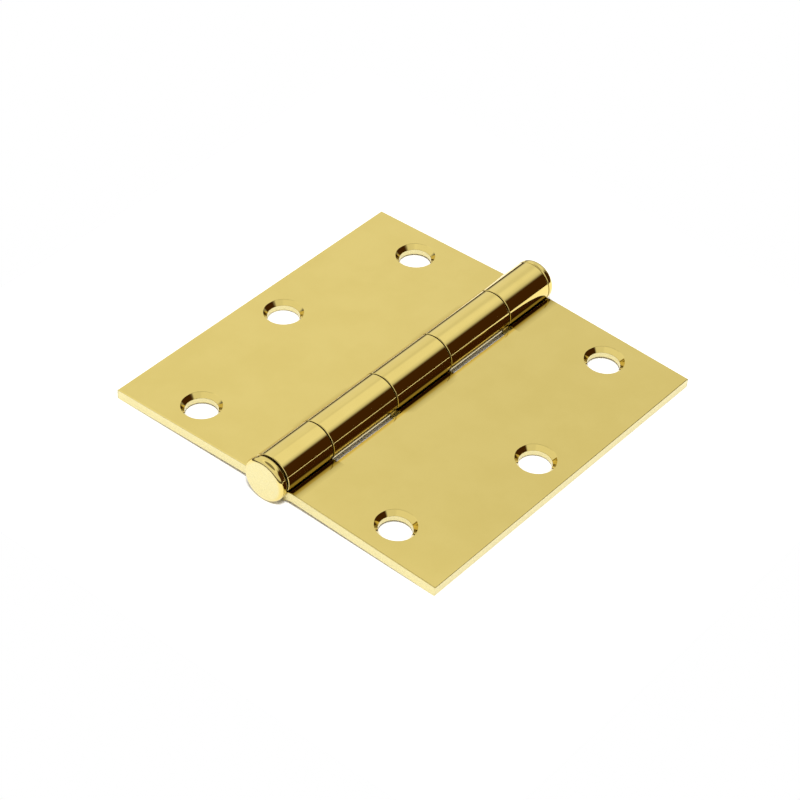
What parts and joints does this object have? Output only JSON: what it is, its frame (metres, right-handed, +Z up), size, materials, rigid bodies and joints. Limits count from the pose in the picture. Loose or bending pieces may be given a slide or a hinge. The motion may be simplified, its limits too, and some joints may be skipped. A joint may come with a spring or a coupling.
{
  "type": "butt hinge",
  "caption": "Loose-pin butt door hinge in polished brass plate, lying open with its barrel up and countersunk screw holes in both leaves.",
  "frame": {"origin": "on the table under the middle of the open hinge, at the bottom centre of its bounding box", "axes": "+Z up from the table, +Y along the pin from its head to the plug, +X across towards the leaf with three knuckles"},
  "size_m": [0.0888, 0.0938, 0.0105],
  "materials": {
    "leaf_brass": "polished",
    "pin_brass": "polished"
  },
  "bodies": {
    "fixed_leaf": {"leaf_three_knuckle": "leaf_brass", "barrel_plug": "pin_brass"},
    "swinging_leaf": {"leaf_two_knuckle": "leaf_brass"},
    "loose_pin": {"hinge_pin": "pin_brass"}
  },
  "joints": [
    {"name": "leaf_swing", "type": "hinge", "parent": "fixed_leaf", "child": "swinging_leaf", "pos_m": [0, 0, 0.00525], "axis": [0, 1, 0], "range_deg": [-110, 187]},
    {"name": "pin_pull", "type": "slide", "parent": "fixed_leaf", "child": "loose_pin", "axis": [0, -1, 0], "range_m": [0, 0.086]}
  ]
}
